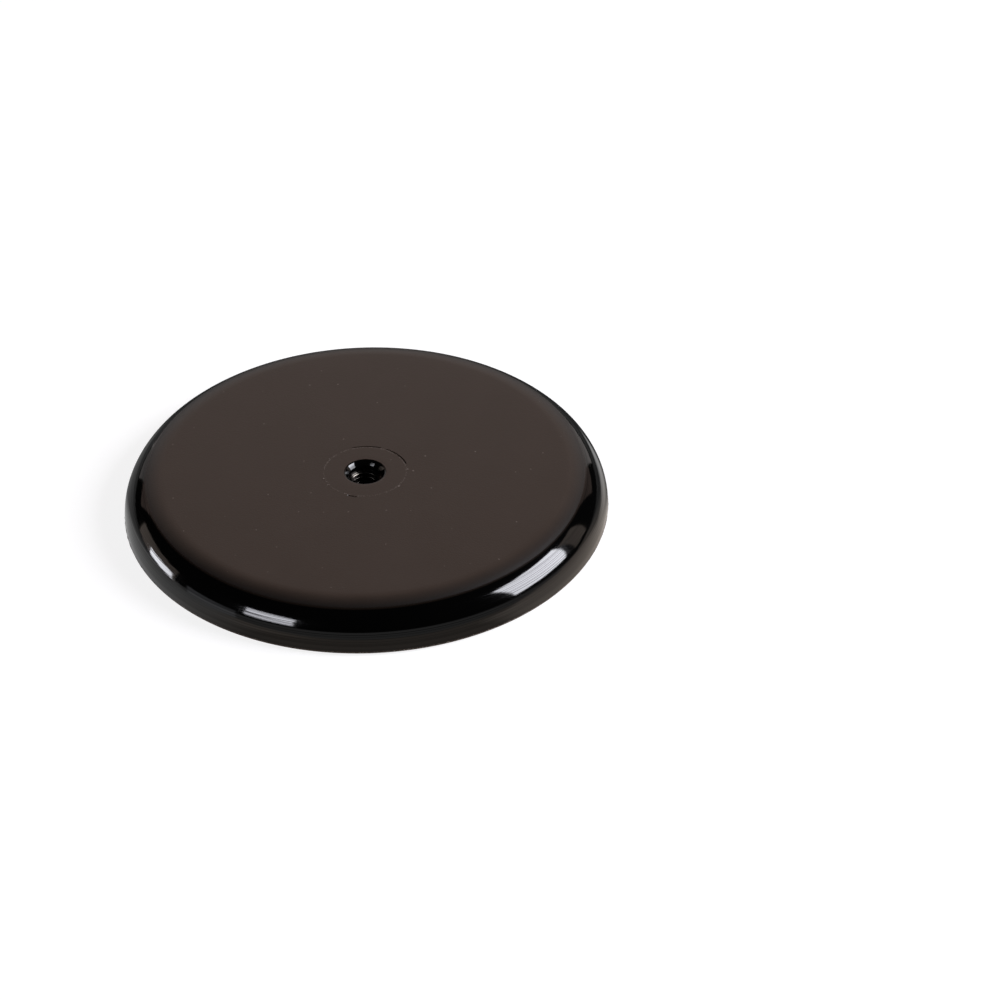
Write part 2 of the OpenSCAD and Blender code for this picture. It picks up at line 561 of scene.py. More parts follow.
# friction face: the grained disc on the underside, with its torn gate and a rough lower edge
faceSizes = {
    "outerR": 38.2,
    "edgeR": 0.4,
    "edgeSteps": 6,
    "wallZ": (0.6, 0.85, 1.1),
    "backZ": 1.4,
    "backMargin": 2,
    # radius and height, from the middle of the nib to the dimple's lip
    "gate": [(0, 0.08), (0.294, 0.11), (0.42, 0.27), (0.7, 0.3), (1.0, 0.165), (1.1, 0)],
    "gateR": 1.0,
    "flatFrom": 1.4,
    "flatMargin": 0.2,
    "ringSpacing": 0.42,
    "steps": 480,
    "grainSize": 0.9,
    "grainDepth": 0.06,
    "grainBelow": 0.3,
    "tearSize": 0.7,
    "tearDepth": 0.22,
    "tearWidth": 0.45,
    "tearFullBelow": 0.7,
    "tearHalfBelow": 1.2,
    "smoothAngle": 60,
}


def faceSection():
    s = faceSizes
    flatR = s["outerR"] - s["edgeR"]
    section = list(s["gate"])
    section += [(r, 0) for r in spacedRadii(s["flatFrom"], flatR - s["flatMargin"], s["ringSpacing"])]
    section += arcPoints((flatR, s["edgeR"]), s["edgeR"], -90, 0, s["edgeSteps"])
    section += [(s["outerR"], z) for z in s["wallZ"]]
    section += [(s["outerR"], s["backZ"])]
    section += [(s["outerR"] - s["backMargin"], s["backZ"])]
    section += [(0, s["backZ"])]
    return section


def makeFace():
    s = faceSizes
    face = turnSection("grainedFace", faceSection(), s["steps"])
    under = face.vertex_groups.new(name="under")
    edge = face.vertex_groups.new(name="edge")
    for vertex in face.data.vertices:
        radius = math.hypot(vertex.co.x, vertex.co.y) / mm
        height = vertex.co.z / mm
        if height < s["grainBelow"] and s["gateR"] < radius:
            under.add([vertex.index], 1.0, "REPLACE")
        if radius > s["outerR"] - s["tearWidth"] and height < s["tearHalfBelow"]:
            edge.add([vertex.index], 1.0 if height < s["tearFullBelow"] else 0.5, "REPLACE")
    roughen(face, "under", grainTexture("mouldGrain", s["grainSize"]), s["grainDepth"])
    roughen(face, "edge", grainTexture("tornEdge", s["tearSize"]), s["tearDepth"])
    smoothFaces(face, s["smoothAngle"])
    return face


grainedFace = makeFace()
print("friction face grained,", len(grainedFace.data.polygons), "faces")


# materials

# moulded synthetic rubber, brown-black: a blasted mould plate leaves the top satin, the turned and
# polished mould ring leaves the rounded edge and the hole's lip like black glass with fine turning lines
shellFinish = {
    "satinDark": "#291f18",
    "satinLight": "#30251e",
    "polished": "#020202",
    # the pale of real dust specks, also used for the painted glints and sparkles on nibs, ring and corner
    "dustAndGlintPale": "#8a8078",
    "satinRough": 0.46,
    "roughSpread": 0.05,
    "fadeRough": 0.4,
    # how far the satin colour darkens across the fade ring: painted shade where the edge turns away from
    # the light behind
    "edgeShadeStrength": 0.8,
    "polishedRough": 0.06,
    "streakRough": 0.13,
    "streakFrom": 0.5,
    "streakTo": 0.68,
    "shine": 0.5,
    "lineShine": 0.18,
    "lineFrom": 0.5,
    "lineTo": 0.62,
    "fadeFrom": 37.3 * mm,
    "fadeTo": 39.7 * mm,
    "polishFrom": 39.7 * mm,
    "polishTo": 40.35 * mm,
    # the polish ends above the parting line, on a slope that follows the rounded edge
    "partingFrom": 0.78 * mm,
    "partingTo": 0.86 * mm,
    "partingSlope": 0.5,
    "holeFrom": 3.95 * mm,
    "holeTo": 3.75 * mm,
    "mottleSize": 9 * mm,
    "grainSize": 0.3 * mm,
    "grainDepth": 0.02 * mm,
    "turningSize": 0.22 * mm,
    "turningDepth": 0.003 * mm,
    "speckSpacing": 5.5 * mm,
    # a speck's size as a share of the spacing, and which of the cells have one
    "speckFrom": 0.016,
    "speckTo": 0.006,
    "speckFewest": 0.5,
    "speckMost": 0.95,
    "speckStrength": 0.5,
    "speckAbove": 8.3 * mm,
    # how pale the nibs standing above the top are painted: a painted glint
    "nibGlint": 0.5,
    "nibFrom": 0.015 * mm,
    "nibTo": 0.045 * mm,
    # pale dots on a ring just inside the witness mark: painted glints of flash bits there
    "ringGlintPale": 0.24,
    "ringGlintR": 7.5 * mm,
    "ringGlintHalf": 0.14 * mm,
    "ringGlintFrom": 0.46,
    "ringGlintTo": 0.66,
    # pale flecks on the lower outer corner: painted sparkles of the torn flash there
    "cornerSparkle": 0.5,
    "fleckFrom": 0.54,
    "fleckTo": 0.66,
    "cornerFrom": 43.55 * mm,
    "cornerTo": 43.8 * mm,
}


def makeShellRubber():
    f = shellFinish
    material, tree = newMaterial("mouldedSatinRubber")
    place = addNode(tree, "TexCoord").outputs["Object"]
    xyz = addNode(tree, "SeparateXYZ", links={0: place})
    radius = axisDistance(tree, place)
    edge = addNode(tree, "MapRange", smoothStep, {1: f["polishFrom"], 2: f["polishTo"]}, {0: radius})
    outside = addNode(
        tree, "Math", {"operation": "MULTIPLY_ADD"},
        {1: f["partingSlope"], 2: -f["partingSlope"] * cadHigh.x}, {0: radius},
    )
    height = addNode(
        tree, "Math", {"operation": "ADD"}, links={0: outside.outputs[0], 1: xyz.outputs["Z"]},
    )
    above = addNode(
        tree, "MapRange", smoothStep, {1: f["partingFrom"], 2: f["partingTo"]},
        {0: height.outputs[0]},
    )
    hole = addNode(tree, "MapRange", smoothStep, {1: f["holeFrom"], 2: f["holeTo"]}, {0: radius})
    # the fade ring, where the satin roughens and, as painted shade, darkens towards the edge
    fade = addNode(tree, "MapRange", None, {1: f["fadeFrom"], 2: f["fadeTo"]}, {0: radius})
    fade = addNode(
        tree, "Math", {"operation": "MULTIPLY"},
        links={0: fade.outputs[0], 1: above.outputs[0]},
    )
    ring = addNode(
        tree, "Math", {"operation": "MULTIPLY"},
        links={0: edge.outputs[0], 1: above.outputs[0]},
    )
    polish = addNode(
        tree, "Math", {"operation": "MAXIMUM"},
        links={0: ring.outputs[0], 1: hole.outputs[0]},
    ).outputs[0]
    satin = addNode(tree, "Math", {"operation": "SUBTRACT"}, {0: 1.0}, {1: polish}).outputs[0]

    mottle = addNode(
        tree, "TexNoise", values={"Scale": 1 / f["mottleSize"], "Detail": 4.0},
        links={"Vector": place},
    )
    grain = addNode(
        tree, "TexNoise", values={"Scale": 1 / f["grainSize"], "Detail": 2.0},
        links={"Vector": place},
    )
    across = addNode(tree, "Math", {"operation": "SUBTRACT"}, links={0: xyz.outputs["Z"], 1: radius})
    turning = addNode(
        tree, "TexNoise", {"noise_dimensions": "1D"},
        {"Scale": 1 / f["turningSize"], "Detail": 1.0, "Roughness": 0.6},
        {"W": across.outputs[0]},
    )
    specks = addNode(
        tree, "TexVoronoi", {"voronoi_dimensions": "2D"},
        {"Scale": 1 / f["speckSpacing"]}, {"Vector": place},
    )
    ragged = addNode(
        tree, "Math", {"operation": "MULTIPLY"},
        links={0: specks.outputs["Distance"], 1: grain.outputs["Fac"]},
    )
    near = addNode(
        tree, "MapRange", smoothStep, {1: f["speckFrom"], 2: f["speckTo"]},
        {0: ragged.outputs[0]},
    )
    some = addNode(
        tree, "MapRange", smoothStep,
        {1: f["speckFewest"], 2: f["speckMost"], 4: f["speckStrength"]}, {0: specks.outputs["Color"]},
    )
    onTop = addNode(
        tree, "Math", {"operation": "GREATER_THAN"}, {1: f["speckAbove"]}, {0: xyz.outputs["Z"]},
    )
    dust = addNode(
        tree, "Math", {"operation": "MULTIPLY"},
        links={0: near.outputs[0], 1: some.outputs[0]},
    )
    dust = addNode(
        tree, "Math", {"operation": "MULTIPLY"},
        links={0: dust.outputs[0], 1: onTop.outputs[0]},
    )
    # the nibs above the top face are painted pale: a painted glint where they would catch the light
    nibs = addNode(
        tree, "MapRange", smoothStep,
        {1: cadHigh.z + f["nibFrom"], 2: cadHigh.z + f["nibTo"], 4: f["nibGlint"]}, {0: xyz.outputs["Z"]},
    )
    # pale dots along a ring just inside the witness mark: painted glints of flash bits catching the light
    ringGlints = addNode(
        tree, "Math", {"operation": "COMPARE"}, {1: f["ringGlintR"], 2: f["ringGlintHalf"]}, {0: radius},
    )
    dots = addNode(
        tree, "MapRange", smoothStep,
        {1: f["ringGlintFrom"], 2: f["ringGlintTo"], 4: f["ringGlintPale"]}, {0: grain.outputs["Fac"]},
    )
    ringGlints = addNode(
        tree, "Math", {"operation": "MULTIPLY"},
        links={0: ringGlints.outputs[0], 1: dots.outputs[0]},
    )
    # pale flecks on the lower outer corner, below the parting line: painted sparkles of its torn flash
    # catching the light
    corner = addNode(tree, "MapRange", smoothStep, {1: f["cornerFrom"], 2: f["cornerTo"]}, {0: radius})
    corner = addNode(
        tree, "Math", {"operation": "SUBTRACT", "use_clamp": True},
        links={0: corner.outputs[0], 1: above.outputs[0]},
    )
    flecks = addNode(
        tree, "MapRange", smoothStep,
        {1: f["fleckFrom"], 2: f["fleckTo"], 4: f["cornerSparkle"]}, {0: grain.outputs["Fac"]},
    )
    corner = addNode(
        tree, "Math", {"operation": "MULTIPLY"},
        links={0: corner.outputs[0], 1: flecks.outputs[0]},
    )
    # the pale mask joins painted glints and sparkles (nibs, ring, corner) with real dust
    pale = addNode(
        tree, "Math", {"operation": "MAXIMUM"}, links={0: nibs.outputs[0], 1: corner.outputs[0]},
    )
    pale = addNode(
        tree, "Math", {"operation": "MAXIMUM"}, links={0: dust.outputs[0], 1: pale.outputs[0]},
    )
    pale = addNode(
        tree, "Math", {"operation": "MAXIMUM"}, links={0: ringGlints.outputs[0], 1: pale.outputs[0]},
    )

    satinColour = addNode(
        tree, "Mix", asColour,
        {6: linearColour(f["satinDark"]), 7: linearColour(f["satinLight"])}, {0: mottle.outputs["Fac"]},
    )
    # the satin is darkened across the fade ring towards the polished black: painted shade of the edge
    # turning away from the light
    paintedEdgeShade = addNode(tree, "Math", {"operation": "MULTIPLY"}, {1: f["edgeShadeStrength"]}, {0: fade.outputs[0]})
    dark = addNode(tree, "Math", {"operation": "MAXIMUM"}, links={0: polish, 1: paintedEdgeShade.outputs[0]})
    body = addNode(
        tree, "Mix", asColour, {7: linearColour(f["polished"])},
        {0: dark.outputs[0], 6: satinColour.outputs[2]},
    )
    colour = addNode(
        tree, "Mix", asColour, {7: linearColour(f["dustAndGlintPale"])},
        {0: pale.outputs[0], 6: body.outputs[2]},
    )
    satinRough = addNode(
        tree, "MapRange", None,
        {3: f["satinRough"] - f["roughSpread"], 4: f["satinRough"] + f["roughSpread"]},
        {0: mottle.outputs["Fac"]},
    )
    polishedRough = addNode(
        tree, "MapRange", None,
        {1: f["streakFrom"], 2: f["streakTo"], 3: f["polishedRough"], 4: f["streakRough"]},
        {0: turning.outputs["Fac"]},
    )
    satinRough = addNode(
        tree, "Mix", None, {3: f["fadeRough"]}, {0: fade.outputs[0], 2: satinRough.outputs[0]},
    )
    rough = addNode(
        tree, "Mix", None, None,
        {0: polish, 2: satinRough.outputs[0], 3: polishedRough.outputs[0]},
    )
    shine = addNode(
        tree, "MapRange", None,
        {1: f["lineFrom"], 2: f["lineTo"], 3: f["shine"], 4: f["lineShine"]}, {0: turning.outputs["Fac"]},
    )
    shine = addNode(tree, "Mix", None, {2: f["shine"]}, {0: polish, 3: shine.outputs[0]})
    grainBump = addNode(
        tree, "Bump", None, {"Distance": f["grainDepth"]},
        {"Strength": satin, "Height": grain.outputs["Fac"]},
    )
    turningBump = addNode(
        tree, "Bump", None, {"Distance": f["turningDepth"]},
        {"Strength": polish, "Height": turning.outputs["Fac"], "Normal": grainBump.outputs[0]},
    )
    shader = addNode(
        tree, "BsdfPrincipled", None, {"IOR": 1.5},
        {
            "Base Color": colour.outputs[2],
            "Roughness": rough.outputs[0],
            "Specular IOR Level": shine.outputs[0],
            "Normal": turningBump.outputs[0],
        },
    )
    addNode(tree, "OutputMaterial", links={"Surface": shader.outputs[0]})
    return material


# the same rubber against a spark-eroded mould face: matt and pebbled, painted darker in the grain's pits
# and paler on its peaks as painted shade and highlight
faceFinish = {
    # pit and peak: painted shade in the grain's pits, painted highlight on its peaks
    "pitShade": "#1b1412",
    "peakHighlight": "#463a34",
    "grainSize": 0.38 * mm,
    "grainDepth": 0.09 * mm,
    "mottleSize": 7 * mm,
    "mottleShare": 0.3,
    "pitUpTo": 0.3,
    "peakFrom": 0.7,
    "pitRough": 0.72,
    "peakRough": 0.5,
    # the pale of the painted sparkles on the torn edge, and of real dust on the face
    "dustAndSparklePale": "#8a8078",
    "fleckSize": 0.3 * mm,
    "fleckFrom": 0.56,
    "fleckTo": 0.66,
    "sparkleStrength": 0.65,
    "tornFrom": 37.65 * mm,
    "tornTo": 37.85 * mm,
    "dustFrom": 0.69,
    "dustTo": 0.74,
    "dustStrength": 0.5,
    # the gate's dimple is painted near-black: painted shade in the hollow round the torn nib
    "gateShade": "#0a0706",
    "gateFrom": 1.15 * mm,
    "gateTo": 0.85 * mm,
    "raggedFrom": 0.35,
    "raggedTo": 0.5,
}


def makeFaceRubber():
    f = faceFinish
    material, tree = newMaterial("pebbledRubber")
    place = addNode(tree, "TexCoord").outputs["Object"]
    grain = addNode(
        tree, "TexNoise", values={"Scale": 1 / f["grainSize"], "Detail": 3.0},
        links={"Vector": place},
    )
    mottle = addNode(
        tree, "TexNoise", values={"Scale": 1 / f["mottleSize"], "Detail": 3.0},
        links={"Vector": place},
    )
    mixed = addNode(
        tree, "Mix", None, {0: f["mottleShare"]},
        {2: grain.outputs["Fac"], 3: mottle.outputs["Fac"]},
    )
    # colour from pit to peak of the grain: painted shade in the pits, painted highlight on the peaks, with
    # some random mottle
    spread = addNode(tree, "MapRange", None, {1: f["pitUpTo"], 2: f["peakFrom"]}, {0: mixed.outputs[0]})
    colour = addNode(
        tree, "Mix", asColour,
        {6: linearColour(f["pitShade"]), 7: linearColour(f["peakHighlight"])}, {0: spread.outputs[0]},
    )
    radius = axisDistance(tree, place)
    # pale flecks on the torn lower edge: painted sparkles where its rough tear catches the light
    torn = addNode(tree, "MapRange", None, {1: f["tornFrom"], 2: f["tornTo"]}, {0: radius})
    crumbs = addNode(
        tree, "TexNoise", values={"Scale": 1 / f["fleckSize"], "Detail": 1.0},
        links={"Vector": place},
    )
    flecks = addNode(
        tree, "MapRange", None,
        {1: f["fleckFrom"], 2: f["fleckTo"], 4: f["sparkleStrength"]}, {0: crumbs.outputs["Fac"]},
    )
    flecks = addNode(
        tree, "Math", {"operation": "MULTIPLY"},
        links={0: flecks.outputs[0], 1: torn.outputs[0]},
    )
    dust = addNode(
        tree, "MapRange", None,
        {1: f["dustFrom"], 2: f["dustTo"], 4: f["dustStrength"]}, {0: crumbs.outputs["Fac"]},
    )
    flecks = addNode(
        tree, "Math", {"operation": "MAXIMUM"},
        links={0: flecks.outputs[0], 1: dust.outputs[0]},
    )
    # the gate's dimple painted near-black, ragged at its lip: painted shade in the hollow round the torn
    # nib
    gate = addNode(tree, "MapRange", None, {1: f["gateFrom"], 2: f["gateTo"]}, {0: radius})
    ragged = addNode(
        tree, "MapRange", None, {1: f["raggedFrom"], 2: f["raggedTo"]},
        {0: crumbs.outputs["Fac"]},
    )
    gate = addNode(
        tree, "Math", {"operation": "MULTIPLY"},
        links={0: gate.outputs[0], 1: ragged.outputs[0]},
    )
    colour = addNode(
        tree, "Mix", asColour, {7: linearColour(f["gateShade"])},
        {0: gate.outputs[0], 6: colour.outputs[2]},
    )
    colour = addNode(
        tree, "Mix", asColour, {7: linearColour(f["dustAndSparklePale"])},
        {0: flecks.outputs[0], 6: colour.outputs[2]},
    )
    rough = addNode(
        tree, "MapRange", None, {3: f["pitRough"], 4: f["peakRough"]}, {0: spread.outputs[0]},
    )
    bump = addNode(
        tree, "Bump", None, {"Strength": 0.8, "Distance": f["grainDepth"]},
        {"Height": grain.outputs["Fac"]},
    )
    shader = addNode(
        tree, "BsdfPrincipled", None, {"IOR": 1.5},
        {"Base Color": colour.outputs[2], "Roughness": rough.outputs[0], "Normal": bump.outputs[0]},
    )
    addNode(tree, "OutputMaterial", links={"Surface": shader.outputs[0]})
    return material


# machined steel with a black oxide skin: nearly black, a soft metal glint along the thread
bushFinish = {
    "oxide": "#383532",
    "worn": "#514d49",
    "roughFrom": 0.16,
    "roughTo": 0.32,
    "patchSize": 1.2 * mm,
    "wearFrom": 0.5,
    "wearTo": 0.75,
    "drilledDark": "#141312",
    "drilledLine": "#5a5650",
    "drilledSpacing": 0.12 * mm,
    "lineFrom": 0.5,
    "lineTo": 0.6,
    "drilledFrom": 6.24 * mm,
    "drilledTo": 6.3 * mm,
}


def makeBushSteel():
    f = bushFinish
    material, tree = newMaterial("blackOxideSteel")
    place = addNode(tree, "TexCoord").outputs["Object"]
    patches = addNode(
        tree, "TexNoise", values={"Scale": 1 / f["patchSize"], "Detail": 4.0},
        links={"Vector": place},
    )
    wear = addNode(
        tree, "MapRange", None, {1: f["wearFrom"], 2: f["wearTo"]}, {0: patches.outputs["Fac"]},
    )
    colour = addNode(
        tree, "Mix", asColour,
        {6: linearColour(f["oxide"]), 7: linearColour(f["worn"])}, {0: wear.outputs[0]},
    )
    rough = addNode(
        tree, "MapRange", None, {3: f["roughFrom"], 4: f["roughTo"]},
        {0: patches.outputs["Fac"]},
    )
    xyz = addNode(tree, "SeparateXYZ", links={0: place})
    drilled = addNode(
        tree, "MapRange", None, {1: f["drilledFrom"], 2: f["drilledTo"]}, {0: xyz.outputs["Z"]},
    )
    streaks = addNode(
        tree, "TexNoise", {"noise_dimensions": "1D"},
        {"Scale": 1 / f["drilledSpacing"], "Detail": 1.0}, {"W": axisDistance(tree, place)},
    )
    streaks = addNode(
        tree, "MapRange", None, {1: f["lineFrom"], 2: f["lineTo"]}, {0: streaks.outputs["Fac"]},
    )
    streaked = addNode(
        tree, "Mix", asColour,
        {6: linearColour(f["drilledDark"]), 7: linearColour(f["drilledLine"])}, {0: streaks.outputs[0]},
    )
    colour = addNode(
        tree, "Mix", asColour, None,
        {0: drilled.outputs[0], 6: colour.outputs[2], 7: streaked.outputs[2]},
    )
    shader = addNode(
        tree, "BsdfPrincipled", None, {"Metallic": 1.0},
        {"Base Color": colour.outputs[2], "Roughness": rough.outputs[0]},
    )
    addNode(tree, "OutputMaterial", links={"Surface": shader.outputs[0]})
    return material


# rolled sheet steel, bright zinc plated: bluish grey with a faint spangle and rolling lines
plateFinish = {
    "zinc": "#b4b8bd",
    "spangle": "#cdd1d4",
    "roughFrom": 0.28,
    "roughTo": 0.44,
    "spangleSize": 2.5 * mm,
    "rollingSize": 0.35 * mm,
    "rollingStretch": (0.04, 1, 1),
    "rollingDepth": 0.004 * mm,
}


def makePlateSteel():
    f = plateFinish
    material, tree = newMaterial("zincPlatedSteel")
    place = addNode(tree, "TexCoord").outputs["Object"]
    spangle = addNode(
        tree, "TexVoronoi", values={"Scale": 1 / f["spangleSize"]}, links={"Vector": place},
    )
    drawn = addNode(tree, "Mapping", values={"Scale": f["rollingStretch"]}, links={"Vector": place})
    rolling = addNode(
        tree, "TexNoise", values={"Scale": 1 / f["rollingSize"], "Detail": 2.0},
        links={"Vector": drawn.outputs[0]},
    )
    colour = addNode(
        tree, "Mix", asColour,
        {6: linearColour(f["zinc"]), 7: linearColour(f["spangle"])}, {0: spangle.outputs["Color"]},
    )
    rough = addNode(
        tree, "MapRange", None, {3: f["roughFrom"], 4: f["roughTo"]},
        {0: rolling.outputs["Fac"]},
    )
    bump = addNode(
        tree, "Bump", None, {"Strength": 0.5, "Distance": f["rollingDepth"]},
        {"Height": rolling.outputs["Fac"]},
    )
    shader = addNode(
        tree, "BsdfPrincipled", None, {"Metallic": 1.0},
        {"Base Color": colour.outputs[2], "Roughness": rough.outputs[0], "Normal": bump.outputs[0]},
    )
    addNode(tree, "OutputMaterial", links={"Surface": shader.outputs[0]})
    return material


# moulded natural nylon: milky cream, a waxy half-gloss with faint flow clouds
holderFinish = {
    "milk": "#ded9c9",
    "cream": "#d1c9b3",
    "roughFrom": 0.35,
    "roughTo": 0.49,
    "cloudSize": 6 * mm,
    "peelSize": 0.5 * mm,
    "peelDepth": 0.01 * mm,
}


def makeHolderNylon():
    f = holderFinish
    material, tree = newMaterial("naturalNylon")
    place = addNode(tree, "TexCoord").outputs["Object"]
    clouds = addNode(
        tree, "TexNoise", values={"Scale": 1 / f["cloudSize"], "Detail": 4.0},
        links={"Vector": place},
    )
    peel = addNode(
        tree, "TexNoise", values={"Scale": 1 / f["peelSize"], "Detail": 2.0},
        links={"Vector": place},
    )
    colour = addNode(
        tree, "Mix", asColour,
        {6: linearColour(f["milk"]), 7: linearColour(f["cream"])}, {0: clouds.outputs["Fac"]},
    )
    rough = addNode(
        tree, "MapRange", None, {3: f["roughFrom"], 4: f["roughTo"]},
        {0: peel.outputs["Fac"]},
    )
    bump = addNode(
        tree, "Bump", None, {"Strength": 0.4, "Distance": f["peelDepth"]},
        {"Height": peel.outputs["Fac"]},
    )
    shader = addNode(
        tree, "BsdfPrincipled", None,
        {"IOR": 1.53, "Subsurface Weight": 0.15, "Subsurface Scale": 1 * mm},
        {"Base Color": colour.outputs[2], "Roughness": rough.outputs[0], "Normal": bump.outputs[0]},
    )
    addNode(tree, "OutputMaterial", links={"Surface": shader.outputs[0]})
    return material


# sintered magnet with a barrel-plated nickel skin: warm mirror grey, tumbled to a fine orange peel
magnetFinish = {
    "nickel": "#c8c1b4",
    "dull": "#a9a399",
    "roughFrom": 0.14,
    "roughTo": 0.3,
    "peelSize": 0.3 * mm,
    "peelDepth": 0.004 * mm,
    "patchSize": 3 * mm,
}


def makeMagnetNickel():
    f = magnetFinish
    material, tree = newMaterial("nickelPlate")
    place = addNode(tree, "TexCoord").outputs["Object"]
    patches = addNode(
        tree, "TexNoise", values={"Scale": 1 / f["patchSize"], "Detail": 5.0},
        links={"Vector": place},
    )
    peel = addNode(
        tree, "TexNoise", values={"Scale": 1 / f["peelSize"], "Detail": 2.0},
        links={"Vector": place},
    )
    colour = addNode(
        tree, "Mix", asColour,
        {6: linearColour(f["nickel"]), 7: linearColour(f["dull"])}, {0: patches.outputs["Fac"]},
    )
    rough = addNode(
        tree, "MapRange", None, {3: f["roughFrom"], 4: f["roughTo"]},
        {0: patches.outputs["Fac"]},
    )
    bump = addNode(
        tree, "Bump", None, {"Strength": 0.4, "Distance": f["peelDepth"]},
        {"Height": peel.outputs["Fac"]},
    )
    shader = addNode(
        tree, "BsdfPrincipled", None, {"Metallic": 1.0},
        {"Base Color": colour.outputs[2], "Roughness": rough.outputs[0], "Normal": bump.outputs[0]},
    )
    addNode(tree, "OutputMaterial", links={"Surface": shader.outputs[0]})
    return material


rubberShell.data.materials.append(makeShellRubber())
grainedFace.data.materials.append(makeFaceRubber())
threadBush.data.materials.append(makeBushSteel())

plateSteel = makePlateSteel()
holderNylon = makeHolderNylon()
magnetNickel = makeMagnetNickel()
for nodeName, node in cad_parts.items():
    if nodeName == "yoke_plate":
        skin = plateSteel
    elif nodeName == "magnet_holder":
        skin = holderNylon
    elif "magnet_" in nodeName:
        skin = magnetNickel
    else:
        continue
    node.data.materials.clear()
    node.data.materials.append(skin)
print("materials assigned")


# which solid each piece stands for
for piece, nodeName, slotName in (
    (rubberShell, "shell", "shell_rubber"),
    (grainedFace, "friction_face", "face_rubber"),
    (threadBush, "thread_bush", "bush_steel"),
):
    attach(piece, "root")
    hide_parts(nodeName)


# studio: soft boxes at the sides of a dark room, which leans back a little from the pad
lampSetup = {
    "distance": 1.5,
    "lean": 10,
    "tints": {"daylight": (0.92, 0.93, 1.0), "warm": (1.0, 0.84, 0.74)},
    "boxes": [
        # name, azimuth from, to, elevation from, to, radiance, tint; azimuth 0 is behind, 90 to the right
        ("rightBox", 80, 116, 12.3, 43.5, 17.2, "daylight"),
        ("leftWindowUpper", -147.5, -125, 19.3, 29, 14.0, "daylight"),
        ("leftWindowLower", -147.5, -125, 12.5, 18.1, 11.0, "daylight"),
        ("leftPanel", -85, -68, -1, 11.5, 13.0, "daylight"),
        ("leftCard", -87, -56, -2, 22, 0.62, "warm"),
        ("greyPanel", -121, -95, -4, 11, 0.5, "daylight"),
        ("rightStrip", 64, 76, 9, 37, 0.62, "warm"),
    ],
}


def addPanel(name, place, facing, wide, tall, radiance, tint):
    # a lit rectangle: radiance is what a reflection of it shows, whatever its size
    freshStart()
    bpy.ops.object.light_add(type="AREA", location=place)
    panel = bpy.context.object
    panel.name = name
    panel.rotation_mode = "QUATERNION"
    panel.rotation_quaternion = facing
    panel.data.shape = "RECTANGLE"
    panel.data.size = wide
    panel.data.size_y = tall
    panel.data.energy = radiance * math.pi * wide * tall
    panel.data.color = tint
    panel.visible_camera = False


def addLamps():
    lean = Quaternion((1, 0, 0), math.radians(-lampSetup["lean"]))
    for name, azFrom, azTo, elFrom, elTo, radiance, tint in lampSetup["boxes"]:
        azimuth = math.radians((azFrom + azTo) / 2)
        elevation = math.radians((elFrom + elTo) / 2)
        away = Vector((
            math.sin(azimuth) * math.cos(elevation),
            math.cos(azimuth) * math.cos(elevation),
            math.sin(elevation),
        ))
        reach = lampSetup["distance"]
        wide = 2 * reach * math.cos(elevation) * math.tan(math.radians(azTo - azFrom) / 2)
        tall = 2 * reach * math.tan(math.radians(elTo - elFrom) / 2)
        facing = lean @ (-away).to_track_quat("-Z", "Y")
        addPanel(name, lean @ away * reach, facing, wide, tall, radiance, lampSetup["tints"][tint])


cardSetup = {
    "distance": 0.17,
    "tints": {"cream": (1, 0.93, 0.91), "brown": (1, 0.75, 0.66)},
    "bands": [
        # left, right, height from, to, radiance, tint
        (-0.11, 0.146, 0.012, 0.1, 0.66, "cream"),
        (-0.152, -0.11, 0.012, 0.1, 0.33, "cream"),
        (-0.21, 0.146, 0.1, 0.24, 0.38, "brown"),
        (-0.21, -0.09, 0.06, 0.2, 0.26, "brown"),
        (0.1, 0.21, 0.05, 0.2, 0.26, "brown"),
    ],
}


def addBackCards():
    # a warm card close behind the pad, brighter below, whose sheen lies on the satin top
    c = cardSetup
    facing = Vector((0, -1, 0)).to_track_quat("-Z", "Y")
    for left, right, low, high, radiance, tint in c["bands"]:
        place = ((left + right) / 2, c["distance"], (low + high) / 2)
        addPanel("backCard", place, facing, right - left, high - low, radiance, c["tints"][tint])


worldSetup = {
    "room": 0.006,
    "table": 0.33,
    "tableTilt": 15.5,
    "tableLift": 3,
    "horizonSoft": 0.01,
    "underFrom": -0.02,
    "underTo": -0.1,
    "under": 0.62,
    "underTint": "#ffede1",
}


